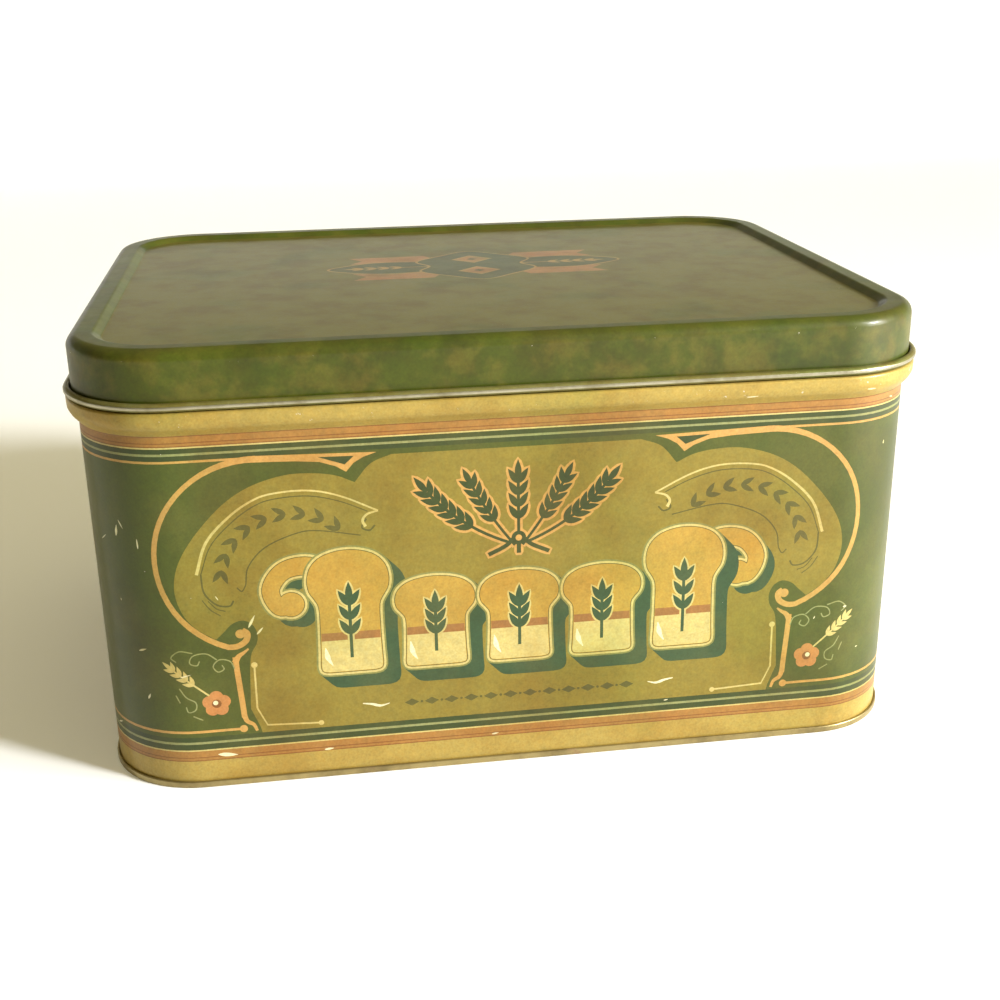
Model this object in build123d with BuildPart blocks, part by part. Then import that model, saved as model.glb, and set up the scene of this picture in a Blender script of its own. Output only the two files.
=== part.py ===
"""Bread box in printed tinplate, with a lift-off lid.

Four pieces of sheet: two wall sheets joined by lock seams in the sides, a pressed bottom joined to
the walls by a double seam, and a drawn lid that slips over the neck. Millimetres, +Z up, origin at
the middle of the base, front towards -Y.
"""
import os
from build123d import *

os.makedirs("parts", exist_ok=True)

# Driving dimensions
LENGTH = 330.0          # outside of the wall, left to right
DEPTH = 256.0           # outside of the wall, front to back
CORNER = 37.0           # outside radius of the upright corners
HEIGHT = 179.5          # floor to the crest of the lid
SHEET = 0.3             # thickness of the tinplate
GAP = 0.08              # air between layers of a folded seam

# Wall: swage bead and neck. A section gives distance out from the wall's outside, then height
BEAD_BOTTOM = 147.0     # where the wall starts to swell
BEAD_OUT = 3.9          # how far the bead stands out
BEAD_FULL = 151.5       # height of the corner that the bead's large arc rounds
BEAD_TOP = 156.8        # shoulder under the lid's curled edge
NECK_OUT = 0.9          # outside of the neck
NECK_TOP = 175.0        # hemmed edge of the neck
HEM_WIDTH = 0.8         # two layers and the air between them
HEM_LENGTH = 5.0
BEAD_BENDS = [1.5, 6.0, 1.2, 0.6]   # radii of the bead's corners, from its foot to the neck
HEM_BEND = 0.38

# Lid
LID_INSIDE = 1.2        # inside of the skirt, a sliding clearance round the neck
CURL_RADIUS = 1.65      # outside radius of the curled edge
CURL_BOTTOM = 157.2     # lowest point of the lid
CURL_END = 110.0        # angle at which the curl stops, short of closing
SHOULDER = 4.2          # radius under the shoulder
RIM_INNER = -8.5        # inner end of the raised rim
RIM_BEND = 2.0          # radius at both ends of the slope inside the rim
PANEL_START = -11.5     # where the panel becomes flat
PANEL_DROP = 2.2        # depth of the panel below the rim
LID_PLATE = -20.0       # the panel inside this line is one flat plate

# Bottom and double seam
SEAM_HEIGHT = 2.8       # height of the seam above the floor
COUNTERSINK = 4.0       # height of the bottom's outer panel
BOTTOM_STEP = 0.8       # the middle of the bottom is pressed up by this much
STEP_START = -14.0
STEP_END = -16.0
STEP_BEND = 1.5
BOTTOM_PLATE = -20.0    # the bottom inside this line is one flat plate
COUNTERSINK_BEND = 0.8
CHUCK_BEND = 0.1        # foot of the upright just inside the wall
WALL_HOOK_BEND = 0.2
COVER_HOOK_BENDS = [0.18, 0.18, 0.15]
TIP_AIR = 0.15          # air past the tip of the wall's hook and under its fold
TIP_RISE = 0.25         # the bottom's hook stops this much above the wall's fold

# Lock seams in the two sides
SEAM_Y = 60.0           # where the two wall sheets meet
SEAM_WIDTH = 5.0        # width of the folded lock
SEAM_FROM = 8.0         # the lock is notched off near the bottom
SEAM_TO = 143.0         # and below the bead
SHEET_GAP = 0.03        # half the air between the edges of the sheets
LOCK_REACH = 12.0       # how far each half of the lock runs back into its sheet
FRONT_LOCK_BEND = 0.45
BACK_LOCK_BENDS = [0.2, 0.2, 0.2, 0.35]


def far_skin(points, radii):
    """The skin one thickness to the left of a line of points: its mitred corners and their radii."""
    runs = [(Vector(*end) - Vector(*start)).normalized() for start, end in zip(points, points[1:])]
    lefts = [Vector(-run.Y, run.X) for run in runs]
    corners = [Vector(*points[0]) + lefts[0] * SHEET]
    bends = []
    for point, radius, before, after in zip(points[1:-1], radii, lefts, lefts[1:]):
        corners.append(Vector(*point) + (before + after) * (SHEET / (1 + before.dot(after))))
        turns_left = before.cross(after).Z > 0
        bends.append(radius - SHEET if turns_left else radius + SHEET)
    corners.append(Vector(*points[-1]) + lefts[-1] * SHEET)
    return corners, bends


def sheet_section(plane, points, radii):
    """A strip of sheet metal: one skin follows the points, the other lies one thickness to the left."""
    far_points, far_radii = far_skin(points, radii)
    with BuildSketch(plane) as strip:
        with BuildLine():
            near = FilletPolyline(*points, radius=radii)
            far = FilletPolyline(*far_points, radius=far_radii)
            Line(near @ 0, far @ 0)
            Line(near @ 1, far @ 1)
        make_face()
    return strip.sketch


def section_plane(path):
    """The upright plane across the start of a path that goes anticlockwise round the box, as seen from
    above: its first axis points out of the box and its second axis points up."""
    along = path % 0
    return Plane(origin=path @ 0, x_dir=along.cross(Vector(0, 0, 1)), z_dir=-along)


# Folded layers of the double seam, from the wall outwards
cover_hook = GAP + SHEET
body_hook = cover_hook + GAP
seam_wall = body_hook + SHEET + GAP
hook_floor = 2 * SHEET + TIP_AIR

# Section of a wall sheet, outer skin: body hook, wall, bead, shoulder, neck and hem
wall_points = [
    (body_hook, SEAM_HEIGHT - SHEET - TIP_AIR),
    (body_hook, hook_floor),
    (0, hook_floor),
    (0, BEAD_BOTTOM),
    (BEAD_OUT, BEAD_FULL),
    (BEAD_OUT, BEAD_TOP),
    (NECK_OUT, BEAD_TOP),
    (NECK_OUT, NECK_TOP),
    (NECK_OUT - HEM_WIDTH, NECK_TOP),
    (NECK_OUT - HEM_WIDTH, NECK_TOP - HEM_LENGTH),
]
wall_radii = [WALL_HOOK_BEND] * 2 + BEAD_BENDS + [HEM_BEND] * 2

# The folded lock, in plan on the +X side: the front sheet's hook and the back sheet's hook
outside = LENGTH / 2
layer = SHEET + GAP
fold_in = outside - 2 * layer - SHEET
front_lock = [
    (outside, SEAM_Y - LOCK_REACH),
    (outside, SEAM_Y - SHEET_GAP),
    (fold_in, SEAM_Y - SHEET_GAP),
    (fold_in, SEAM_Y - SEAM_WIDTH + SHEET),
]
back_lock = [
    (outside - layer - SHEET, SEAM_Y - SHEET_GAP - SHEET - GAP),
    (outside - layer - SHEET, SEAM_Y - SEAM_WIDTH),
    (fold_in - GAP, SEAM_Y - SEAM_WIDTH),
    (fold_in - GAP, SEAM_Y + SHEET_GAP),
    (outside, SEAM_Y + SHEET_GAP),
    (outside, SEAM_Y + LOCK_REACH),
]
lock_plane = Plane.XY.offset(SEAM_FROM)

# Front wall sheet
with BuildLine() as front_path:
    FilletPolyline(
        (-LENGTH / 2, SEAM_Y - SHEET_GAP),
        (-LENGTH / 2, -DEPTH / 2),
        (LENGTH / 2, -DEPTH / 2),
        (LENGTH / 2, SEAM_Y - SHEET_GAP),
        radius=CORNER,
    )
with BuildPart() as wall_front:
    sweep(sheet_section(section_plane(front_path.wire()), wall_points, wall_radii),
          path=front_path.wire())
    lock = extrude(sheet_section(lock_plane, front_lock, [FRONT_LOCK_BEND] * 2), amount=SEAM_TO - SEAM_FROM)
    mirror(lock, about=Plane.YZ)
wall_front.part.label = "wall_front"
export_step(wall_front.part, "parts/wall_front.step")

# Back wall sheet
with BuildLine() as back_path:
    FilletPolyline(
        (LENGTH / 2, SEAM_Y + SHEET_GAP),
        (LENGTH / 2, DEPTH / 2),
        (-LENGTH / 2, DEPTH / 2),
        (-LENGTH / 2, SEAM_Y + SHEET_GAP),
        radius=CORNER,
    )
with BuildPart() as wall_back:
    sweep(sheet_section(section_plane(back_path.wire()), wall_points, wall_radii),
          path=back_path.wire())
    lock = extrude(sheet_section(lock_plane, back_lock, BACK_LOCK_BENDS), amount=SEAM_TO - SEAM_FROM)
    mirror(lock, about=Plane.YZ)
wall_back.part.label = "wall_back"
export_step(wall_back.part, "parts/wall_back.step")

# Section of the bottom, upper skin: cover hook, top turn, seam wall, then under the wall's hook to the
# chuck wall, the countersink, the step and the middle plate
bottom_points = [
    (cover_hook, hook_floor + TIP_RISE),
    (cover_hook, SEAM_HEIGHT - SHEET),
    (seam_wall, SEAM_HEIGHT - SHEET),
    (seam_wall, SHEET),
    (-SHEET - GAP, SHEET),
    (-SHEET - GAP, COUNTERSINK),
    (STEP_START, COUNTERSINK),
    (STEP_END, COUNTERSINK + BOTTOM_STEP),
    (BOTTOM_PLATE, COUNTERSINK + BOTTOM_STEP),
]
bottom_radii = COVER_HOOK_BENDS + [CHUCK_BEND, COUNTERSINK_BEND] + [STEP_BEND] * 2

# The whole way round the wall
with BuildSketch() as outline:
    RectangleRounded(LENGTH, DEPTH, CORNER)
rim_path = outline.sketch.face().outer_wire()

with BuildPart() as bottom:
    sweep(sheet_section(section_plane(rim_path), bottom_points, bottom_radii), path=rim_path)
    with BuildSketch(Plane.XY.offset(COUNTERSINK + BOTTOM_STEP - SHEET)):
        RectangleRounded(LENGTH + 2 * BOTTOM_PLATE, DEPTH + 2 * BOTTOM_PLATE, CORNER + BOTTOM_PLATE)
    extrude(amount=SHEET)
bottom.part.label = "bottom"
export_step(bottom.part, "parts/bottom.step")

# Section of the lid, inner skin: skirt, shoulder, rim, slope and panel; and the curl below the skirt
crest = HEIGHT - SHEET
panel = crest - PANEL_DROP
curl_z = CURL_BOTTOM + CURL_RADIUS
lid_points = [
    (LID_PLATE, panel),
    (PANEL_START, panel),
    (RIM_INNER, crest),
    (LID_INSIDE, crest),
    (LID_INSIDE, curl_z),
]
lid_radii = [RIM_BEND] * 2 + [SHOULDER]

far_points, far_radii = far_skin(lid_points, lid_radii)
curl_centre = (LID_INSIDE + CURL_RADIUS, curl_z)

with BuildPart() as lid:
    with BuildSketch(section_plane(rim_path)) as lid_section:
        with BuildLine():
            inside = FilletPolyline(*lid_points, radius=lid_radii)
            outside_skin = FilletPolyline(*far_points, radius=far_radii)
            CenterArc(curl_centre, CURL_RADIUS, 180, 180)
            CenterArc(curl_centre, CURL_RADIUS - SHEET, 180, 180)
            curl_outer = CenterArc(curl_centre, CURL_RADIUS, 0, CURL_END)
            curl_inner = CenterArc(curl_centre, CURL_RADIUS - SHEET, 0, CURL_END)
            Line(inside @ 0, outside_skin @ 0)
            Line(curl_outer @ 1, curl_inner @ 1)
        make_face()
    sweep(lid_section.sketch, path=rim_path)
    with BuildSketch(Plane.XY.offset(panel)):
        RectangleRounded(LENGTH + 2 * LID_PLATE, DEPTH + 2 * LID_PLATE, CORNER + LID_PLATE)
    extrude(amount=SHEET)
lid.part.label = "lid"
export_step(lid.part, "parts/lid.step")
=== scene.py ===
"""A bread box in printed tinplate, with a lift-off lid: its looks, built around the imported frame."""
from math import radians

import bpy
import numpy as np
from mathutils import Matrix, Vector
from mathutils.geometry import delaunay_2d_cdt


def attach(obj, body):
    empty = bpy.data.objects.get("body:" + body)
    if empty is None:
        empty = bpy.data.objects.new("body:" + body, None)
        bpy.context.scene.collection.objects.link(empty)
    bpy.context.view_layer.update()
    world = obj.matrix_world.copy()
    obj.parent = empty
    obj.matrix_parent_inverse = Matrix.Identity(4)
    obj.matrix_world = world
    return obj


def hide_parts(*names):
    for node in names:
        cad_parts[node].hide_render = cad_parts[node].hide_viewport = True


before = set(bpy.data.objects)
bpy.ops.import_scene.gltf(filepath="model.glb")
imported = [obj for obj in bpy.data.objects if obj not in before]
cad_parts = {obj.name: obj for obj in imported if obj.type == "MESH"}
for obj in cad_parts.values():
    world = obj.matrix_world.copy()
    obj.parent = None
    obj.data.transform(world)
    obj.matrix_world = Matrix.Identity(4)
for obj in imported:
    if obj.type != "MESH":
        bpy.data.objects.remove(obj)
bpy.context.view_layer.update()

# ---------------------------------------------------------------------------------------------------
# CAMERA, FLOOR AND LIGHT. A normal lens a little above the lid, a white floor that turns up far behind,
# a low sun and a window from the front and the right, and a warm dim sky that fills the shadow. Metres.
# ---------------------------------------------------------------------------------------------------
scene = bpy.context.scene
scene.view_settings.view_transform = "Standard"

camera = bpy.data.objects.new("camera", bpy.data.cameras.new("camera"))
scene.collection.objects.link(camera)
camera.data.lens = 49.4
camera.data.clip_start = 0.01
place, heading, tilt, lean = (-0.0774, -0.6166, 0.2979), -8.18, 69.6, -0.82
turns = [Matrix.Rotation(radians(angle), 4, axis)
         for angle, axis in ((heading, "Z"), (tilt, "X"), (lean, "Z"))]
camera.matrix_world = Matrix.Translation(place) @ turns[0] @ turns[1] @ turns[2]
scene.camera = camera

# Both lights shine the same way. The sun casts the shadow, and the window lays a haze on the right end
light_way = Vector((-0.80, 0.50, -0.36)).to_track_quat("-Z", "Y").to_euler()
key = bpy.data.objects.new("key", bpy.data.lights.new("key", "SUN"))
scene.collection.objects.link(key)
key.data.energy = 4.6
key.data.angle = radians(8)
key.data.color = (0.97, 0.98, 1.0)
key.rotation_euler = light_way
window = bpy.data.objects.new("window", bpy.data.lights.new("window", "AREA"))
scene.collection.objects.link(window)
window.data.shape = "RECTANGLE"
window.data.size, window.data.size_y = 0.5, 0.7
window.data.energy = 24
window.location = (1.03, -0.67, 0.49)
window.rotation_euler = light_way


class Wire:
    """A socket in a material's node tree. Its arithmetic adds Math nodes, and node() adds any other."""

    def __init__(self, tree, socket=None):
        self.tree, self.socket = tree, socket

    def node(self, kind, settings, inputs, output=0):
        made = self.tree.nodes.new("ShaderNode" + kind)
        for name, value in settings.items():
            setattr(made, name, value)
        for name, value in inputs.items():
            if isinstance(value, Wire):
                self.tree.links.new(value.socket, made.inputs[name])
            else:
                made.inputs[name].default_value = value
        return Wire(self.tree, made.outputs[output])

    def math(self, operation, *values):
        return self.node("Math", {"operation": operation}, dict(enumerate(values)))

    def __add__(self, other):
        return self.math("ADD", self, other)

    def __mul__(self, other):
        return self.math("MULTIPLY", self, other)

    def __sub__(self, other):
        return self.math("SUBTRACT", self, other)

    def __rsub__(self, other):
        return self.math("SUBTRACT", other, self)

    def clip(self, low, high):
        """0 below low, 1 above high, and a smooth step between."""
        return self.node("MapRange", {"interpolation_type": "SMOOTHSTEP"}, {"Value": self, 1: low, 2: high})

    def noise(self, where, scale, detail=2.0, rough=0.5):
        """Cloudy noise, about 0 to 1 round 0.5, with scale clouds to a metre."""
        return self.node("TexNoise", {}, {
            "Vector": where, "Scale": scale, "Detail": detail, "Roughness": rough})

    def mix(self, share, colour, other, blend="MIX"):
        """Two colours mixed by a share; the share may be a number or a wire."""
        return self.node("Mix", {"data_type": "RGBA", "blend_type": blend},
                         {0: share, 6: colour, 7: other}, 2)

    def feed(self, shader, name):
        self.tree.links.new(self.socket, shader.inputs[name])


# The sky is dim at the level of the floor and bright overhead, a little brighter to the right, and never
# quite dark
sky = bpy.data.worlds.new("sky")
scene.world = sky
sky.use_nodes = True
way = Wire(sky.node_tree).node("TexCoord", {}, {}, "Generated")
across, high = (way.node("SeparateXYZ", {}, {0: way}, axis) for axis in "XZ")
level = way.math("MAXIMUM", high * 0.70 + across * 0.20 + 0.04, 0.02)
level.node("CombineColor", {}, {"Red": level, "Green": level * 0.87, "Blue": level * 0.46}).feed(
    sky.node_tree.nodes["Background"], "Color")

# A white floor that turns up behind: it is flat as far back as FLOOR_BACK, and then a quarter of a circle
FLOOR_HALF, FLOOR_BACK, COVE_RADIUS = 40, 1.7, 0.75
turned = np.linspace(0, np.pi / 2, 24)
cove = np.stack([FLOOR_BACK + COVE_RADIUS * np.sin(turned), COVE_RADIUS - COVE_RADIUS * np.cos(turned)], -1)
cove = np.vstack([[-FLOOR_HALF, 0], cove])
floor_mesh = bpy.data.meshes.new("floor")
floor_mesh.from_pydata([(x, y, z) for y, z in cove for x in (-FLOOR_HALF, FLOOR_HALF)], [],
                       [(i, i + 1, i + 3, i + 2) for i in range(0, 2 * len(cove) - 2, 2)])
floor_mesh.polygons.foreach_set("use_smooth", [True] * (len(cove) - 1))
floor = bpy.data.objects.new("floor", floor_mesh)
scene.collection.objects.link(floor)
paper = bpy.data.materials.new("white paper")
paper.use_nodes = True
for name, value in (("Base Color", (0.90, 0.90, 0.90, 1)), ("Roughness", 0.9),
                    ("Emission Color", (1.0, 1.0, 1.0, 1)), ("Emission Strength", 0.07)):
    paper.node_tree.nodes["Principled BSDF"].inputs[name].default_value = value
floor_mesh.materials.append(paper)

# ---------------------------------------------------------------------------------------------------
# WALL SHEETS. Two sheets of 0.3 mm tinplate, printed flat and then bent round the corners. A swage
# bead and a neck are rolled into the top edge, and the bottom edge is hooked into the double seam.
# Sizes are in millimetres up to the point where a mesh is made.
# ---------------------------------------------------------------------------------------------------
MM = 0.001
LENGTH, DEPTH, CORNER, SHEET = 330.0, 256.0, 37.0, 0.3
FRONT = LENGTH / 2 - CORNER            # half of the flat run of the front
SIDE = DEPTH - 2 * CORNER              # the flat run of a side
BEND = CORNER * np.pi / 2              # the developed length of a corner
GIRTH = 4 * FRONT + 2 * SIDE + 4 * BEND
SEAM_Y = 60.0                          # a lock seam is this far behind the middle of a side
SEAM = FRONT + BEND + SIDE / 2 + SEAM_Y    # from the middle of the front round to a lock seam


def around(s):
    """A point of the wall's outside in plan, and the way out of the box there. s is the length along
    the wall from the middle of the front, to the right: flat runs, and corners where the angle is the
    length into the corner over its radius."""
    s = np.mod(np.asarray(s, float) + GIRTH / 2, GIRTH) - GIRTH / 2
    side = np.where(s < 0, -1.0, 1.0)
    s = np.abs(s)
    first = np.clip((s - FRONT) / CORNER, 0, np.pi / 2)
    second = np.clip((s - FRONT - BEND - SIDE) / CORNER, 0, np.pi / 2)
    turned = first + second
    x = np.clip(s, 0, FRONT) + CORNER * np.sin(turned)
    x = x - np.clip(s - FRONT - 2 * BEND - SIDE, 0, FRONT)
    y = CORNER - DEPTH / 2 + np.clip(s - FRONT - BEND, 0, SIDE) - CORNER * np.cos(turned)
    return np.stack([side * x, y], -1), np.stack([side * np.sin(turned), -np.cos(turned)], -1)


def rounded(points, radii, step=radians(11)):
    """A section through sheet metal: straight runs with their corners rounded to the given radii.
    Returns its points and, at each, the unit direction to the right of travel."""
    points = np.asarray(points, float)
    runs = np.diff(points, axis=0)
    runs /= np.linalg.norm(runs, axis=1)[:, None]
    places, ways = [points[:1]], [runs[:1]]
    for corner, radius, before, after in zip(points[1:-1], radii, runs, runs[1:]):
        turn_angle = np.arctan2(before[0] * after[1] - before[1] * after[0], before @ after)
        angles = np.linspace(0, turn_angle, max(2, int(abs(turn_angle) / step) + 2))
        side = np.sign(turn_angle)
        centre = corner - before * radius * np.tan(abs(turn_angle) / 2)
        centre = centre + side * radius * np.array([-before[1], before[0]])
        way = np.stack([before[0] * np.cos(angles) - before[1] * np.sin(angles),
                        before[0] * np.sin(angles) + before[1] * np.cos(angles)], -1)
        places.append(centre + side * radius * np.stack([way[:, 1], -way[:, 0]], -1))
        ways.append(way)
    places.append(points[-1:])
    ways.append(runs[-1:])
    place, way = np.vstack(places), np.vstack(ways)
    return place, np.stack([way[:, 1], -way[:, 0]], -1)


# The section of a wall sheet, outer skin: out of the double seam, up the wall, over the swage bead, in
# under the lid's curled edge, up the neck and down inside its hem
wall_points = [(0.76, 2.3), (0.76, 0.75), (0, 0.75), (0, 147), (3.9, 151.5), (3.9, 156.8), (0.9, 156.8),
               (0.9, 175), (0.1, 175), (0.1, 170)]
section, out_way = rounded(wall_points, [0.2, 0.2, 1.5, 6.0, 1.2, 0.6, 0.38, 0.38])
climb = np.concatenate([[0], np.cumsum(np.linalg.norm(np.diff(section, axis=0), axis=1))])

# How far up the sheet each point was as it lay flat. The count starts from the middle of the first fold,
# which keeps it within a millimetre of the height above the floor on the upright wall
FIRST_FOLD = 5
height = climb + section[FIRST_FOLD, 1] - climb[FIRST_FOLD]


def wall_surface(s, h):
    """The printed sheet in its place: s runs round the wall and h up the sheet as it lay flat, and the
    section says how far out and how high that is. Returns points and outward directions."""
    plan, away = around(s)
    out = np.interp(h, height, section[:, 0])
    z = np.interp(h, height, section[:, 1])
    lean = np.stack([np.interp(h, height, out_way[:, 0]), np.interp(h, height, out_way[:, 1])], -1)
    lean /= np.linalg.norm(lean, axis=1)[:, None]
    places = np.column_stack([plan + away * out[:, None], z])
    return places, np.column_stack([away * lean[:, :1], lean[:, 1]])


def ink(red, green, blue, shine=0.0):
    """An ink as it lies on the tin: its colour, 0 to 255, turned into linear light, and how much of the
    tin's shine comes through."""
    share = np.array([red, green, blue]) / 255
    return (*np.where(share <= 0.04045, share / 12.92, ((share + 0.055) / 1.055) ** 2.4), shine)


INKS = {
    "green": ink(62, 70, 18), "deep green": ink(44, 56, 22), "gold": ink(122, 107, 40, 0.2),
    "gold band": ink(158, 135, 66, 0.25), "salmon": ink(142, 100, 46), "rust": ink(114, 70, 30),
    "orange": ink(172, 132, 70), "pale green": ink(124, 126, 80), "cream": ink(176, 160, 98),
    "rose": ink(166, 112, 62), "white": ink(204, 196, 158), "amber": ink(160, 128, 52, 0.1),
    "brown": ink(132, 90, 46), "shade": ink(42, 66, 40), "olive line": ink(76, 72, 28),
    "halo": ink(112, 112, 60),
}


def spline(points, closed=False, steps=7):
    """A smooth line through given points: between each two, the cubic whose slope at a point is half
    the step from its neighbour before to its neighbour after."""
    points = np.asarray(points, float)
    if closed:
        ends = np.vstack([points[-1:], points, points[:2]])
    else:
        ends = np.vstack([2 * points[:1] - points[1:2], points, 2 * points[-1:] - points[-2:-1]])
    t = np.linspace(0, 1, steps, endpoint=False)[None, :, None]
    a, b, c, d = (ends[i:len(ends) - 3 + i, None] for i in range(4))
    line = b + 0.5 * t * (c - a + t * (2 * a - 5 * b + 4 * c - d + t * (3 * (b - c) + d - a)))
    line = line.reshape(-1, 2)
    return line if closed else np.vstack([line, points[-1:]])


def arc(x, z, radius, start, end, step=6):
    """Part of a circle, from one angle to another in degrees."""
    angle = np.radians(np.linspace(start, end, max(3, int(abs(end - start) / step) + 1)))
    return np.stack([x + radius * np.cos(angle), z + radius * np.sin(angle)], -1)


def stroke(line, width):
    """A brush line: the centre line's two edges, half the width to either side."""
    way = np.gradient(line, axis=0)
    way /= np.linalg.norm(way, axis=1)[:, None]
    edge = np.stack([-way[:, 1], way[:, 0]], -1) * (np.broadcast_to(width, len(line)) / 2)[:, None]
    return np.vstack([line + edge, (line - edge)[::-1]])


def brushed(points, *widths):
    """A smooth brush line through points. Each width comes with its place along the line, 0 to 1."""
    line = spline(points)
    places, widths = zip(*widths)
    return stroke(line, np.interp(np.linspace(0, 1, len(line)), places, widths))


def leaf(x, z, angle, length, width):
    """A grain or leaf from its root: half its width is a sine along its length, fullest near the root."""
    t = np.linspace(0, 1, 9)
    half = width / 2 * np.sin(np.pi * t ** 0.8)
    along, across = np.concatenate([t, t[-2:0:-1]]) * length, np.concatenate([half, -half[-2:0:-1]])
    turn_to = radians(angle)
    return np.stack([x + along * np.cos(turn_to) - across * np.sin(turn_to),
                     z + along * np.sin(turn_to) + across * np.cos(turn_to)], -1)


def grown(shape, by):
    """A closed shape made larger all round: each point moves out square to the line past it."""
    way = np.roll(shape, -1, 0) - np.roll(shape, 1, 0)
    way /= np.linalg.norm(way, axis=1)[:, None] + 1e-9
    x, z = shape.T
    turning = np.sign(np.sum(x * np.roll(z, -1) - np.roll(x, -1) * z))
    return shape + by * turning * np.stack([way[:, 1], -way[:, 0]], -1)


def above(shape, level, keep=1):
    """The part of a closed shape above a level, or below it where keep is -1."""
    kept = []
    for here, there in zip(shape, np.roll(shape, -1, 0)):
        inside, next_inside = (keep * (p[1] - level) >= 0 for p in (here, there))
        if inside:
            kept.append(here)
        if inside != next_inside:
            kept.append(here + (there - here) * (level - here[1]) / (there[1] - here[1]))
    return np.array(kept)


def ear(x, z, angle, length, grains, size, bend=0.0):
    """An ear of wheat as a list of shapes: a stalk, grains in pairs up it, and one at the tip."""
    t = np.linspace(0, 1, 12)
    heading = np.radians(angle + bend * t)
    steps = np.stack([np.cos(heading), np.sin(heading)], -1) * length / 11
    line = np.array([x, z]) + np.vstack([[0, 0], np.cumsum(steps[:-1], axis=0)])
    shapes = [stroke(line, size * 0.16)]
    for place in np.linspace(0.42, 0.94, grains):
        px, pz = (np.interp(place, t, line[:, i]) for i in range(2))
        shapes += [leaf(px, pz, angle + bend * place + side * 32, size, size * 0.36) for side in (-1, 1)]
    return shapes + [leaf(*line[-1], angle + bend, size * 1.1, size * 0.36)]


# The scroll border, its right half, for a panel whose own middle is x = 0 and whose scroll is where it
# is on the front. Narrower panels bring it nearer by an inset. lobe is the edge of the gold field.
lobe = np.vstack([
    spline([(48, 136.2), (56, 133), (62.2, 126)]),
    spline([(62.8, 126.2), (69, 129), (77, 130.4), (88, 130.4), (101, 126.8), (112, 120), (123, 108.5),
            (130, 97.5), (132.4, 87), (130.5, 77.5), (126, 70.6), (119.2, 65.4)]),
    spline([(118.4, 65.2), (115.4, 68), (112, 71.2), (108, 72.4), (104.6, 70.6), (102.8, 66.8), (103.2, 62.4),
            (105.6, 58), (106.6, 52)]),
    [(107.6, 34), (104.4, 25.6), (103.8, 23)],
])
scroll_end = spline([(114.6, 61.4), (110.6, 61.6), (107.4, 63.6), (106.6, 66.6), (108.4, 68.4)])
scroll = np.vstack([arc(99.5, 98, 39.4, 92, -62), scroll_end[1:]])
scroll_width = np.interp(np.linspace(0, 1, len(scroll)), [0, 0.12, 0.5, 0.85, 1], [2.6, 1.9, 2.3, 2.5, 2.2])
barb = np.array([(101, 138.65), (53.5, 137.4), (58.5, 135.8), (62.3, 133.6), (65.2, 130.3), (69, 132.7),
                 (75, 134.8), (84, 135.6), (93, 135.9), (101, 136.1)])
half_border = [
    ("orange", barb),
    ("deep green", np.array([(62, 136.4), (65.6, 133.2), (75.5, 136.7)])),
    ("orange", stroke(scroll, scroll_width)),
    ("orange", arc(109.2, 66.8, 1.9, 0, 340, 20)),
    ("orange", brushed([(106.6, 60.2), (108.6, 58.6), (110.6, 57.2), (112.2, 54.6)], (0, 0.7), (1, 2.6))),
    ("orange", stroke(np.array([(111.9, 57), (111.7, 52), (110.6, 36), (110.3, 30.4)]), 2.2)),
    ("orange", brushed([(110.4, 31.5), (109.4, 28.6), (107, 26.9), (105.8, 24)], (0, 2.2), (1, 1.1))),
    ("orange", arc(111, 25.4, 1.6, 0, 340, 20)),
    ("cream", stroke(np.array([(104.9, 53), (105.1, 34), (101.6, 26.2), (80.5, 25.2)]), 0.75)),
    ("cream", arc(104.9, 53, 1.25, 0, 340, 24)),
    ("cream", arc(80.5, 25.2, 1.1, 0, 340, 24)),
]

# A ribbon under the scroll: its lower edge, its turned ends, its lit upper edge and a sprig along it
ribbon = [
    ("olive line", brushed([(122, 92.5), (117.4, 104), (108.8, 113), (100.2, 118.9), (92.6, 121.2),
                            (80, 121.6), (68.6, 118.8), (58, 114)], (0, 0.45))),
    ("olive line", brushed([(105.6, 87), (104, 94.6), (97.2, 102), (85.5, 106.8), (77, 107.4), (61, 104.4)],
                           (0, 0.5))),
    ("olive line", brushed([(105.6, 87), (107.2, 84.6), (109, 86.2)], (0, 0.5))),
    ("olive line", brushed([(122, 92.5), (121.4, 85), (117.2, 79.8), (112.4, 78.8), (110.6, 81)], (0, 0.7))),
    ("olive line", brushed([(120.2, 81.5), (117.2, 78), (114, 76.8)], (0, 0.45))),
    ("olive line", brushed([(122.4, 82), (119.6, 77.8), (116, 75)], (0, 0.45))),
    ("olive line", brushed([(58.6, 111), (60.4, 107.6), (57.6, 106.2), (55.4, 108.2)], (0, 0.7))),
    ("cream", brushed([(123.6, 92.6), (119, 105.4), (110, 115), (101, 121), (93, 123.4), (80, 123.8),
                       (68, 120.8), (54, 114)], (0, 1.2), (0.49, 0.7))),
    ("cream", brushed([(54, 114), (58.2, 112.8), (60, 110.4), (59, 107.8)], (0, 0.7), (1, 1.2))),
]
for heading in 148 - 150 * np.linspace(0.08, 0.92, 9):
    root = 88 + 26.52 * np.cos(radians(heading)), 89.5 + 25.4 * np.sin(radians(heading))
    ribbon += [("olive line", leaf(*root, heading - 90 + side * 28, 6.2, 2.2)) for side in (-1, 1)]

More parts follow.
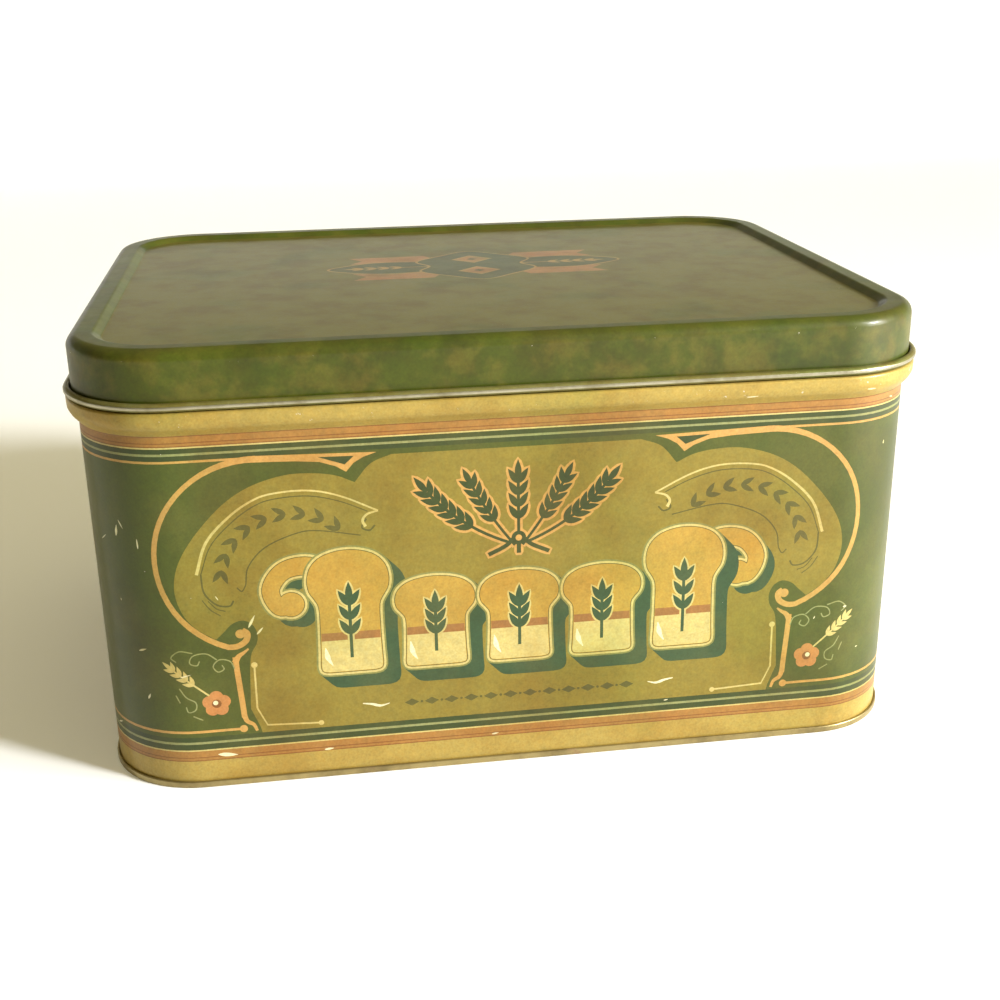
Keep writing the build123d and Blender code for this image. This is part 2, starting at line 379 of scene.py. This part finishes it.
# A spray in the lower corner: tendrils, an ear of wheat and a small rosette of five petals
tendrils = [
    [(112.5, 52), (114, 55.4), (118, 56.4), (120.6, 53.8), (119, 51.2), (116.6, 52.2), (117.2, 54)],
    [(119, 56.5), (123, 59.4), (128, 58.8), (129.4, 55.8), (126.8, 54.6), (125.6, 56.4)],
    [(128, 60), (133, 61), (136.4, 58.4), (134.6, 56.4)],
    [(134.4, 45), (132, 41), (128.6, 38.6), (128.8, 35.4), (131.6, 34.4), (132.4, 36.8)],
    [(136, 42), (134.6, 38.6)],
    [(130, 32.6), (126.4, 30.6)],
]
corner_spray = [("pale green", brushed(tendril, (0, 0.5))) for tendril in tendrils]
corner_spray += [("cream", shape) for shape in ear(123, 41, 42, 18, 4, 4.6)]
for turn in np.radians([90, 162, 234, 306, 18]):
    petal = arc(120.6 + 2.9 * np.cos(turn), 37.4 + 2.9 * np.sin(turn), 2.75, 0, 340, 20)
    corner_spray.append(("rose", petal))
corner_spray += [("rust", arc(120.6, 37.4, 1.9, 0, 330, 30)), ("white", arc(121, 37.8, 1.0, 0, 330, 30))]


def border(middle, inset):
    """The whole border of a panel: the gold field, then each half of the scrolls on it."""
    def placed(shape, side):
        return np.column_stack([middle + side * (shape[:, 0] - inset), shape[:, 1]])

    shapes = [("gold", np.vstack([placed(lobe, 1), placed(lobe[::-1], -1)]))]
    for name, shape in half_border + ribbon + corner_spray:
        shapes += [(name, placed(shape, side)) for side in (1, -1)]
    return shapes


# The middle of the front and the back: five slices of a tin loaf in two tones with a cast shadow, a
# crossing of wheat ears over them, and a row of lozenges under them.
half_slice = np.array([(0, 0), (5.4, 0), (10.26, 0.2), (12.06, 1.8), (11.88, 8), (11.61, 18), (11.7, 26),
                       (13.14, 29.4), (15.12, 32.6), (15.66, 37), (14.4, 41.6), (10.98, 45.2), (5.94, 47.2),
                       (0, 47.9)])
slice_shape = spline(np.vstack([half_slice, half_slice[-2:0:-1] * [-1, 1]]), closed=True, steps=3)
SLICE_PITCH, SLICE_FOOT = 33.4, 47.0
STRIPE = 60.8, 64.2               # the stripe between the two tones, from and to these heights
CAST = np.array([5.0, -5.2])      # how far the shadows fall


def loaf_slice(x, scale):
    """One slice: its shadow is the shape swept down to the right, then a halo, a bright edge, a dark
    line, two tones with a stripe between, an ear of wheat in the middle and a lick of light."""
    body = slice_shape * [1, scale] + [x, SLICE_FOOT]
    rim = grown(body, 1.9)
    quads = np.stack([rim, np.roll(rim, -1, 0), np.roll(rim, -1, 0) + CAST, rim + CAST], 1)
    shapes = [("shade", quad) for quad in quads] + [("shade", rim + CAST), ("halo", rim)]
    shapes += [("cream", grown(body, 1.2)), ("olive line", grown(body, 0.3)), ("amber", body)]
    inner = grown(body, -0.2)
    stripe = above(above(inner, STRIPE[0]), STRIPE[1], -1)
    shapes += [("brown", stripe), ("cream", above(inner, STRIPE[0], -1))]
    wheat = ear(x, SLICE_FOOT + 6, 90, 22 * scale, 3, 8.0)
    shapes += [("cream", grown(shape, 0.7)) for shape in wheat] + [("shade", shape) for shape in wheat]
    lick = [(x - 10.2, SLICE_FOOT + 11), (x - 9.4, SLICE_FOOT + 6.4), (x - 7.6, SLICE_FOOT + 3)]
    return shapes + [("white", brushed(lick, (0, 0.3), (0.4, 2.2), (1, 0.3)))]


def lozenges(reach, count):
    """A row of lozenges under a panel's middle, reach to either side."""
    return [("olive line", np.array([(x - 3.0, 31), (x, 32.6), (x + 3.0, 31), (x, 29.4)]))
            for x in np.linspace(-reach, reach, count)]


def centre_piece(middle):
    """Everything on a large panel inside its border."""
    shapes = []
    for side in (-1, 1):
        bough = spline([(side * 72, 84), (side * 80, 92.6), (side * 90.6, 92), (side * 96.4, 84.4),
                        (side * 93.4, 76.4), (side * 87.6, 77.6)])
        for name, wider in (("shade", 1.6), ("halo", 3.8), ("cream", 2.4), ("olive line", 0.6), ("amber", 0)):
            moved = CAST * 0.8 if name == "shade" else 0
            knob = arc(side * 89.0, 77.6, 5.0 + wider / 2, 0, 345, 15)
            width = np.linspace(8.0, 5.6, len(bough)) + wider
            shapes += [(name, knob + moved), (name, stroke(bough + moved, width))]
    for place in range(-2, 3):
        shapes += loaf_slice(place * SLICE_PITCH, 1.08 if abs(place) == 2 else 0.8)
    sheaf = []
    for side in (-1, 1):
        sheaf += ear(side * 3, 97, 90 - side * 68, 40, 6, 7.4, bend=side * 30)
        sheaf += ear(side * 1.5, 96, 90 - side * 38, 31, 5, 6.8, bend=side * 12)
    sheaf += ear(0, 95, 90, 28, 4, 7.4)
    sheaf += [brushed([(side, 100), (side * 5, 96), (side * 12, 92.6)], (0, 1.7)) for side in (-1, 0, 1)]
    sheaf.append(arc(0, 99, 2.9, 0, 345, 15))
    shapes += [("orange", grown(shape, 1.0)) for shape in sheaf] + [("deep green", shape) for shape in sheaf]
    shapes.append(("orange", arc(0, 99, 1.3, 0, 330, 30)))
    shapes += lozenges(44, 12)
    shapes += [("olive line", arc(x, 31, 0.6, 0, 300, 60)) for x in np.linspace(-40, 40, 11)]
    for side in (-1, 1):
        dash = [(side * 53, 31.4), (side * 56.5, 30.6), (side * 60, 31.6), (side * 63.6, 32.2)]
        shapes.append(("white", brushed(dash, (0, 0.3), (0.5, 1.2), (1, 0.4))))
    return [(name, shape + [middle, 0]) for name, shape in shapes]


def side_piece(middle):
    """The middle of a narrow panel: a spray of three ears over a lozenge row."""
    sheaf = []
    for side in (-1, 1):
        sheaf += ear(side * 2, 52, 90 - side * 24, 52, 6, 9.0, bend=side * 12)
    sheaf += ear(0, 46, 90, 64, 7, 9.6) + [arc(0, 56, 3.6, 0, 345, 15)]
    sheaf += [brushed([(side * 1.5, 55), (side * 6, 47), (side * 13, 41)], (0, 1.8)) for side in (-1, 0, 1)]
    shapes = [("orange", grown(shape, 1.0)) for shape in sheaf] + [("deep green", shape) for shape in sheaf]
    shapes += [("orange", arc(0, 56, 1.5, 0, 330, 30))] + lozenges(28, 8)
    return [(name, shape + [middle, 0]) for name, shape in shapes]


# Scuffs down to the bare primer: some where hands and shelves catch the box, and a scatter near the
# corners. The broad mark low on the front near its left end, at 14.8 mm, is a painted highlight and no
# scuff. Each is the length round the wall, the height, the angle, the length and the width
chance = np.random.default_rng(11)
scuffs_and_glint = [(-155, 107, 80, 5, 1.2), (-153, 114, -60, 4, 0.6), (-150, 60, 20, 4, 0.8), (-122, 14.8, -6, 8, 1.7),
          (-80, 12.8, 5, 4, 1.0), (-106, 69, 62, 6, 1.0), (-103, 66, 48, 4, 0.8), (-12, 13.2, 8, 3, 0.7),
          (88, 152.5, 4, 5, 0.6), (136, 153, -3, 4, 0.8), (60, 22, 10, 2, 0.5)]
for corner in (FRONT + BEND / 2, FRONT + BEND * 1.5 + SIDE):
    for side in (-1, 1):
        scuffs_and_glint += [(side * corner + chance.normal(0, 26), chance.uniform(12, 148), chance.uniform(0, 180),
                    chance.uniform(1.2, 5), chance.uniform(0.3, 0.9)) for _ in range(9)]

# The bands that run all round, from the floor up, each to the height where the next begins
BANDS = [("gold band", 12.3), ("rust", 12.7), ("salmon", 13.7), ("rust", 14.1), ("salmon", 16.8),
         ("cream", 17.4), ("deep green", 19.9), ("pale green", 20.9), ("deep green", 23.0),
         ("green", 138.4), ("deep green", 140.2), ("pale green", 141.1), ("deep green", 143.0),
         ("cream", 143.6), ("rust", 144.0), ("salmon", 144.9), ("rust", 145.3), ("salmon", 147.6),
         ("rust", 148.0), ("gold band", 168.0), ("tin", 400.0)]
INKS["tin"] = ink(172, 166, 140, 0.9)


def wall_artwork():
    """All the printing on the wall, in the order that it is laid on: bands, the pin lines between one
    panel's scrolls and the next one's, panels, and scuffs with one painted highlight among them."""
    low, shapes = -20.0, []
    left, right = -GIRTH, 1.5 * GIRTH
    for name, high in BANDS:
        shapes.append((name, np.array([(left, low), (right, low), (right, high), (left, high)])))
        low = high
    side_middle, side_inset = FRONT + BEND + SIDE / 2, 40.5
    panels = [(0, 0), (side_middle, side_inset), (GIRTH / 2, 0), (GIRTH - side_middle, side_inset),
              (-side_middle, side_inset), (-GIRTH / 2, 0)]
    order = sorted(panels)
    for (left, left_inset), (right, right_inset) in zip(order, order[1:]):
        for level, reach, width in ((137.8, 99.5, 0.9), (25.4, 111, 1.1)):
            line = np.array([(left + reach - left_inset, level), (right - reach + right_inset, level)])
            shapes.append(("orange", stroke(line, width)))
    for middle, inset in panels:
        shapes += border(middle, inset)
        shapes += side_piece(middle) if inset else centre_piece(middle)
    # White scuffs and one painted highlight, each laid at its place and again one girth further on
    for place in scuffs_and_glint:
        shapes += [("white", leaf(*place) + [turn * GIRTH, 0]) for turn in (0, 1)]
    return shapes


def laid_out(shapes, outline, cuts=()):
    """Turns overlapping shapes into one sheet of triangles. Each triangle takes the ink laid on last
    there. Triangles outside the outline are dropped, and cuts are extra lines that triangles keep to.
    Returns corners, triangles and the ink of each triangle."""
    shapes = [(name, anticlockwise(shape)) for name, shape in shapes if near(shape, outline)]
    shapes.insert(0, ("", outline))
    corners, faces = [], []
    for _, shape in shapes:
        faces.append(list(range(len(corners), len(corners) + len(shape))))
        corners += [Vector(corner) for corner in shape]
    edges = []
    for start, end in cuts:
        edges.append((len(corners), len(corners) + 1))
        corners += [Vector(start), Vector(end)]
    places, _, triangles, _, _, owners = delaunay_2d_cdt(corners, edges, faces, 0, 1e-4)
    kept = [(triangle, max(owner)) for triangle, owner in zip(triangles, owners) if 0 in owner and max(owner)]
    names = [shapes[top][0] for _, top in kept]
    return np.array([tuple(place) for place in places]), np.array([tuple(t) for t, _ in kept]), names


def anticlockwise(shape):
    """A closed shape with its points in anticlockwise order: its signed area is positive."""
    x, z = shape.T
    return shape if np.sum(x * np.roll(z, -1) - np.roll(x, -1) * z) > 0 else shape[::-1]


def near(shape, outline):
    """Whether two shapes' boxes meet."""
    return bool(np.all(shape.min(0) < outline.max(0)) and np.all(shape.max(0) > outline.min(0)))


def tin_object(name, places, normals, triangles, materials, which, colours=None):
    """Makes a mesh of triangles with smooth normals, a material for each triangle, and the ink of each
    triangle as a colour. Places are in millimetres."""
    mesh = bpy.data.meshes.new(name)
    mesh.from_pydata(places * MM, [], triangles)
    for material in materials:
        mesh.materials.append(material)
    mesh.polygons.foreach_set("material_index", which)
    mesh.polygons.foreach_set("use_smooth", np.ones(len(triangles), bool))
    if colours is not None:
        layer = mesh.attributes.new("ink", "FLOAT_COLOR", "CORNER")
        layer.data.foreach_set("color", np.repeat(colours, 3, axis=0).astype(np.float32).ravel())
    mesh.normals_split_custom_set_from_vertices(normals)
    piece = bpy.data.objects.new(name, mesh)
    scene.collection.objects.link(piece)
    return piece


def new_finish(name):
    """The start of a finish: its material, its shader, an empty wire to make nodes from, and the piece's
    own coordinates in metres."""
    material = bpy.data.materials.new(name)
    material.use_nodes = True
    shader = material.node_tree.nodes["Principled BSDF"]
    start = Wire(material.node_tree)
    return material, shader, start, start.node("TexCoord", {}, {}, "Object")


def printed_finish(name, scale, mottle, share, browned, greened, coat, worn):
    """Ink and varnish on tin: the ink's colour, mottled by a share of a second ink, broken by the press's
    fine grain and pulled to brown or to green by clouds of age, with small chips down to the metal, under
    a coat of varnish. scale is the number of clouds to a metre, and worn the heights in metres between
    which an edge is chipped."""
    material, shader, start, where = new_finish(name)
    printed = start.node("Attribute", {"attribute_name": "ink"}, {}, "Color")
    shine = start.node("Attribute", {"attribute_name": "ink"}, {}, "Alpha")
    grain = start.noise(where, 1100, 1.0)
    speckle = start.noise(where, 420, 3.0, 0.65)
    cloud = start.noise(where, scale, 4.0, 0.6)
    patch = start.noise(where, scale * 0.45, 3.0, 0.6)
    spots = start.noise(where, scale * 1.6, 3.0, 0.55)
    up = where.node("SeparateXYZ", {}, {0: where}, "Z")

    # Chips: a few anywhere, and many along the worn edge, which fades out over a little more than 1 mm
    fade = 0.0012
    edge = up.clip(worn[0], worn[0] + fade) * (1 - up.clip(worn[1] - fade, worn[1]))
    chips = start.noise(where, 260, 3.0, 0.7).clip(0.75, 0.765) * patch.clip(0.5, 0.62)
    chips = chips + edge * start.noise(where, 340, 4.0, 0.7).clip(0.67, 0.70) * (1 - chips)

    # The second ink shows less on top of the lid than on any upright
    lid_top = up.clip(0.1755, 0.1772)
    mottled = start.mix(spots.clip(0.40, 0.66) * share * (1 - lid_top * 0.6), printed, mottle)
    aged = start.mix(cloud.clip(0.42, 0.68) * browned, mottled, (0.72, 0.56, 0.30, 1), "MULTIPLY")
    aged = start.mix(patch.clip(0.50, 0.68) * greened, aged, (0.62, 0.84, 0.50, 1), "MULTIPLY")
    press = start.node("CombineColor", {}, {"Red": speckle * 0.60 + grain * 0.30 + 0.55,
                                            "Green": grain * 0.45 + speckle * 0.45 + 0.55,
                                            "Blue": grain * 0.8 + speckle * 0.2 + 0.50})
    lit = start.mix(1.0, aged, press, "MULTIPLY")
    start.mix(chips, lit, (0.52, 0.48, 0.36, 1)).feed(shader, "Base Color")
    (shine + chips * 0.4).feed(shader, "Metallic")
    (speckle * 0.16 + cloud * 0.12 + 0.42).feed(shader, "Roughness")

    # Old varnish: thin and yellow, over a sheet that is never quite flat
    shader.inputs["Coat Weight"].default_value = coat
    shader.inputs["Specular IOR Level"].default_value = 0.28
    shader.inputs["Specular Tint"].default_value = (1.0, 0.92, 0.66, 1)
    shader.inputs["Coat Roughness"].default_value = 0.20
    relief = start.noise(where, 9, 1.0) + speckle * 0.012
    bumped = start.node("Bump", {}, {"Strength": 0.5, "Distance": 0.0015, "Height": relief})
    bumped.feed(shader, "Normal")
    return material


def bare_tin(name, colour, dulled, stains):
    """Tinplate without print: bright metal gone dull in clouds, with a fine grain and some brown stains."""
    material, shader, start, where = new_finish(name)
    dull = start.noise(where, 60, 4.0, 0.65)
    stain = start.noise(where, 34, 5.0, 0.7).clip(0.56, 0.72) * stains
    base = start.mix(dull.clip(0.35, 0.7), colour, dulled)
    start.mix(stain, base, (0.17, 0.085, 0.035, 1)).feed(shader, "Base Color")
    (0.92 - stain * 0.8).feed(shader, "Metallic")
    (dull * 0.22 + stain * 0.3 + 0.26).feed(shader, "Roughness")
    relief = start.noise(where, 700, 2.0)
    bumped = start.node("Bump", {}, {"Strength": 0.3, "Distance": 0.0004, "Height": relief})
    bumped.feed(shader, "Normal")
    return material


printed_tin = printed_finish("printed tin", scale=24, mottle=(0.16, 0.12, 0.03, 1), share=0.14, browned=0.55,
                             greened=0.4, coat=0.3, worn=(0.1505, 0.1560))
inside_tin = bare_tin("inside of the tin", (0.62, 0.55, 0.40, 1), (0.46, 0.40, 0.28, 1), stains=0.3)

LOCK = 5.2        # width of a lock seam
EDGE = 0.03       # a sheet's upright edge stops this short of the line where the two sheets meet


def wall_sheet(name, start, end, locks):
    """A wall sheet from one length round the wall to another. The print is laid out flat, every corner of
    it is carried to its place on the wall, and a second skin follows one thickness inside. locks gives
    each lock seam's place and which way it lies from there: a shallow groove outside, a ridge inside."""
    low, high = height[0], height[-1]
    outline = np.array([(start, low), (end, low), (end, high), (start, high)])
    turns = np.linspace(0, BEND, 13)
    bends = np.concatenate([turns + FRONT, turns + FRONT + BEND + SIDE])
    bends = np.concatenate([bends, -bends, GIRTH - bends])
    near_lock = np.array([0.35, 0.8, 1.4, LOCK - 0.6, LOCK, LOCK + 0.8])
    for lock, way in locks:
        bends = np.concatenate([bends, lock + way * near_lock])
    cuts = [((s, low - 1), (s, high + 1)) for s in sorted(bends) if start < s < end]
    cuts += [((start - 1, h), (end + 1, h)) for h in height[1:-1]]
    flat, triangles, names = laid_out(wall_artwork(), outline, cuts)
    used, triangles = np.unique(triangles, return_inverse=True)
    flat, triangles = flat[used], triangles.reshape(-1, 3)

    # The lock seams fade out above the double seam, at 6 to 8 mm, and below the bead, at 143 to 145 mm
    s, h = flat.T
    outer, normals = wall_surface(s, h)
    upright = np.clip((h - 6) / 2, 0, 1) * np.clip((145 - h) / 2, 0, 1)
    groove, ridge = np.zeros_like(s), np.zeros_like(s)
    for lock, _ in locks:
        off = np.abs(s - lock)
        groove += 0.3 * np.exp(-(off / 0.7) ** 2) * upright
        ridge += 0.95 * np.clip((LOCK - off) / 0.6, 0, 1) * upright
    outer = outer - normals * groove[:, None]
    inner = outer - normals * (SHEET + ridge - groove)[:, None]

    # A side that only one triangle has is on the sheet's edge, where a band joins the two skins
    count = len(flat)
    sides = triangles[:, [0, 1, 1, 2, 2, 0]].reshape(-1, 2)
    _, first, repeats = np.unique(np.sort(sides, axis=1), axis=0, return_index=True, return_counts=True)
    a, b = sides[first[repeats == 1]].T
    band = np.vstack([np.column_stack([b, a, a + count]), np.column_stack([b, a + count, b + count])])
    everything = np.vstack([triangles, triangles[:, ::-1] + count, band])
    which = np.concatenate([np.zeros(len(triangles), int), np.ones(len(triangles) + len(band), int)])
    colours = np.array([INKS[n] for n in names])
    colours = np.vstack([colours, np.tile(INKS["tin"], (len(everything) - len(names), 1))])
    return tin_object(name, np.vstack([outer, inner]), np.vstack([normals, -normals]), everything,
                      [printed_tin, inside_tin], which, colours)


front_sheet = wall_sheet("printed_front_sheet", -SEAM + EDGE, SEAM - EDGE, [(SEAM, -1), (-SEAM, 1)])
back_sheet = wall_sheet("printed_back_sheet", SEAM + EDGE, GIRTH - SEAM - EDGE,
                        [(SEAM, 1), (GIRTH - SEAM, -1)])
for sheet, node in ((front_sheet, "wall_front"), (back_sheet, "wall_back")):
    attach(sheet, "box")
    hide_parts(node)

# ---------------------------------------------------------------------------------------------------
# BOTTOM. One pressed sheet of lacquered tinplate: a flat middle, a step, a countersink, and an edge that
# is folded round the walls' hooks into the double seam, whose stained rim shows below the print.
# ---------------------------------------------------------------------------------------------------
PLATE_EDGE = -20.0     # inside this line a pressed sheet's middle is flat


def loop_samples():
    """Lengths round the wall where a swept section is placed: often in the corners, and nowhere between."""
    turns = np.linspace(0, BEND, 15)
    starts = np.array([FRONT, FRONT + BEND + SIDE, GIRTH - FRONT - 2 * BEND - SIDE, GIRTH - FRONT - BEND])
    return (starts[:, None] + turns).ravel()


def carried_round(profile, ways):
    """A section carried once round the wall: each row of points is the section at one place, moved out by
    its first number and up by its second. Returns points, directions, triangles and, for each triangle,
    the place along the section where it starts."""
    plan, away = around(loop_samples())
    rows, columns = len(plan), len(profile)
    xy = plan[:, None] + away[:, None] * profile[None, :, :1]
    places = np.dstack([xy, np.broadcast_to(profile[:, 1], (rows, columns))]).reshape(-1, 3)
    facing = np.dstack([away[:, None] * ways[None, :, :1], np.broadcast_to(ways[:, 1], (rows, columns))])
    row, column = np.meshgrid(np.arange(rows), np.arange(columns - 1), indexing="ij")
    a, b = row * columns + column, (row + 1) % rows * columns + column
    quads = np.stack([a, b, b + 1, a + 1], -1).reshape(-1, 4)
    triangles = np.vstack([quads[:, [0, 1, 2]], quads[:, [0, 2, 3]]])
    return places, facing.reshape(-1, 3), triangles, np.tile(column.ravel(), 2)


def plate(z, up, prints):
    """The flat middle of a pressed sheet, with the shapes printed on it."""
    plan, away = around(loop_samples())
    outline = plan + away * PLATE_EDGE
    flat, triangles, names = laid_out([("plain", outline)] + prints, outline)
    facing = np.tile([0.0, 0.0, 1.0 if up else -1.0], (len(flat), 1))
    triangles = triangles if up else triangles[:, ::-1]
    return np.column_stack([flat, np.full(len(flat), z)]), facing, triangles, names


def pressed_sheet(name, skin, right, side, paint, materials, which_of, prints=()):
    """A pressed sheet. Its section starts at the plate, follows one skin to the folded edge and comes back
    along the other, one thickness to the right of travel where side is 1 and to the left where it is -1.
    paint and which_of give the ink's name and the material's number of each face along the section. Two
    plates close the middle."""
    far = skin + side * SHEET * right
    profile, ways = np.vstack([skin, far[::-1]]), np.vstack([-side * right, side * right[::-1]])
    places, facing, triangles, column = carried_round(profile, ways)
    if side > 0:
        triangles = triangles[:, ::-1]
    names, which = [paint[c] for c in column], [which_of[c] for c in column]
    for z, up, shapes, first in ((profile[0, 1], side > 0, prints if side > 0 else [], 0),
                                 (profile[-1, 1], side < 0, prints if side < 0 else [], -1)):
        more, more_facing, more_triangles, more_names = plate(z, up, list(shapes))
        triangles = np.vstack([triangles, more_triangles + len(places)])
        places, facing = np.vstack([places, more]), np.vstack([facing, more_facing])
        names += [paint[first] if n == "plain" else n for n in more_names]
        which += [which_of[first]] * len(more_names)
    _, first, back = np.unique(np.round(places, 4), axis=0, return_index=True, return_inverse=True)
    triangles = back.reshape(-1)[triangles]
    whole = (np.diff(np.sort(triangles, axis=1), axis=1) > 0).all(axis=1)
    colours = np.array([INKS[n] for n in names])
    return tin_object(name, places[first], facing[first], triangles[whole], materials, np.array(which)[whole],
                      colours[whole])


bottom_skin, bottom_right = rounded(
    [(-20, 4.8), (-16, 4.8), (-14, 4.0), (-0.38, 4.0), (-0.38, 0.3), (0.84, 0.3), (0.84, 2.5), (0.38, 2.5),
     (0.38, 1.0)], [1.5, 1.5, 0.8, 0.1, 0.15, 0.18, 0.18])
bottom_tin = bare_tin("lacquered tin of the bottom", (0.36, 0.29, 0.13, 1), (0.21, 0.165, 0.075, 1),
                      stains=0.9)
faces = 2 * len(bottom_skin)
bottom = pressed_sheet("pressed_bottom", bottom_skin, bottom_right, 1, ["tin"] * faces, [bottom_tin],
                       [0] * faces)
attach(bottom, "box")
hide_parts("bottom")

# ---------------------------------------------------------------------------------------------------
# LID. One drawn sheet, printed a mottled olive all over, with a faint ornament on its sunk panel. A
# rounded shoulder and a raised rim stiffen it, and its lower edge is curled outwards. The print is worn
# off the curl where it sticks out.
# ---------------------------------------------------------------------------------------------------
CURL_RADIUS, CURL_MIDDLE = 1.65, (2.85, 158.85)
CURL_FROM, CURL_TO, CURL_STEPS = 180, 470, 26      # degrees turned, and the faces along the curl
INKS.update({"lid green": ink(56, 64, 4), "lid panel": ink(84, 80, 20), "lid rust": ink(138, 98, 54),
             "lid leaf": ink(56, 64, 26), "lid line": ink(140, 112, 58), "lid edge": ink(104, 100, 54, 0.35)})
lid_skin, lid_right = rounded([(-20, 177.0), (-11.5, 177.0), (-8.5, 179.2), (1.2, 179.2), (1.2, 158.85)],
                              [2.0, 2.0, 4.2])
curl_start = len(lid_skin)
turned = np.radians(np.linspace(CURL_FROM, CURL_TO, CURL_STEPS + 1))[1:]
curl_way = np.stack([np.cos(turned), np.sin(turned)], -1)
lid_skin = np.vstack([lid_skin, np.array(CURL_MIDDLE) + CURL_RADIUS * curl_way])
lid_right = np.vstack([lid_right, curl_way])

# The ornament: a leafy boss with two lozenges, and on each side a pod with an ear in it between two bars
lid_print = []
for side in (-1, 1):
    for level in (-1, 1):
        bar = np.array([(side * 14, level * 12), (side * 58, level * 12), (side * 52, level * 19),
                        (side * 58, level * 27), (side * 22, level * 27)])
        lid_print.append(("lid rust", bar))
    pod = spline([(side * 8, 0), (side * 24, 11), (side * 46, 13), (side * 62, 6), (side * 68, 0),
                  (side * 62, -6), (side * 46, -13), (side * 24, -11)], closed=True)
    lid_print += [("lid line", grown(pod, 1.2)), ("lid leaf", pod)]
    lid_print += [("lid line", shape) for shape in ear(side * 20, 0, 90 - side * 90, 34, 4, 7.0)]
centre = spline([(0, -34), (13, -25), (26, -12), (21, 0), (26, 12), (13, 25), (0, 34), (-13, 25), (-26, 12),
                 (-21, 0), (-26, -12), (-13, -25)], closed=True)
lid_print += [("lid line", grown(centre, 1.2)), ("lid leaf", centre)]
lozenge = np.array([(-1, 0), (0, -1), (1, 0), (0, 1)])
for middle in (-14, 14):
    for name, size in (("lid line", (10, 9.5)), ("lid rust", (8, 7.5)), ("lid leaf", (2.6, 2.6))):
        lid_print.append((name, lozenge * size + [0, middle]))
lid_print = [(name, shape + [4, 20]) for name, shape in lid_print]

# The sheet's faces, counted along its lower skin to the end of the curl and back along its upper skin:
# bare inside, printed outside, and printed in another ink on the panel. The curl's outside is the lower
# skin carried on, and it is printed except where it is worn. The hollow in the curl is bare.
printed_lid = printed_finish("printed lid", scale=60, mottle=(0.108, 0.090, 0.010, 1), share=0.5, browned=0.6,
                             greened=0.7, coat=0.25, worn=(0.1735, 0.1769))
curled_tin = bare_tin("worn curled edge", (0.42, 0.39, 0.28, 1), (0.24, 0.22, 0.14, 1), stains=0.35)
PRINTED, INSIDE, WORN = 0, 1, 2
rows = len(lid_skin)
panel_from = 2 * rows - 4          # the panel's ink starts in the foot of the slope inside the rim
paint = ["tin"] * (2 * rows)
which_of = [INSIDE] * (curl_start - 1) + [WORN] * (2 * rows - curl_start + 1)
for face in range(2 * rows - curl_start - 1, 2 * rows):
    paint[face], which_of[face] = "lid panel" if face >= panel_from else "lid green", PRINTED
worn_from, worn_to = (curl_start + int((angle - CURL_FROM) / (CURL_TO - CURL_FROM) * CURL_STEPS)
                      for angle in (326, 372))
for face in list(range(curl_start, worn_from)) + list(range(worn_to, rows)):
    paint[face], which_of[face] = "lid edge", PRINTED
lid = pressed_sheet("printed_lid", lid_skin, lid_right, -1, paint, [printed_lid, inside_tin, curled_tin],
                    which_of, lid_print)
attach(lid, "lid")
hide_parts("lid")
